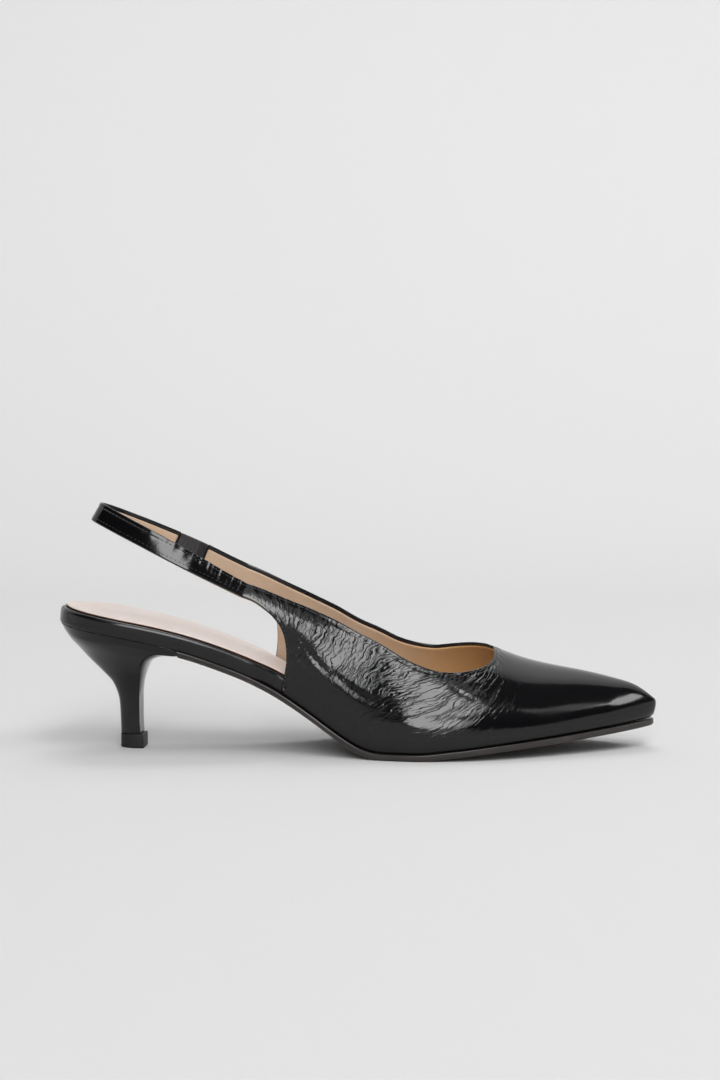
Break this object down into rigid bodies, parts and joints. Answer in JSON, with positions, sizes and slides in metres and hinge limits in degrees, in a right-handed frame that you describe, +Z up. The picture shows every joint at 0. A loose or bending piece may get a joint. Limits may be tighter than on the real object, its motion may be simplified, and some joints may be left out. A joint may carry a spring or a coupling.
{
  "type": "heeled shoe",
  "caption": "Slingback court shoe with a pointed toe, a low curved heel and an elastic in its heel strap.",
  "frame": {"origin": "centre of the foot of the heel tip, on the ground", "axes": "+X to the toe, +Y to the inner (big toe) side, +Z up"},
  "size_m": [0.2508, 0.0794, 0.1037],
  "materials": {
    "patent_leather": "black crinkled patent, high gloss",
    "board_wrap": "black, soft gloss",
    "sole_leather": "dark, satin",
    "sock_lining": "pale beige, matte",
    "heel_cover": "black, gloss",
    "heel_tip_rubber": "black, matte",
    "elastic": "black, gathered"
  },
  "bodies": {
    "root": {"outsole": "sole_leather", "heel": "heel_cover", "heel_tip": "heel_tip_rubber", "insole": "board_wrap", "sock": "sock_lining", "upper": "patent_leather", "elastic_gore": "elastic"}
  },
  "joints": []
}
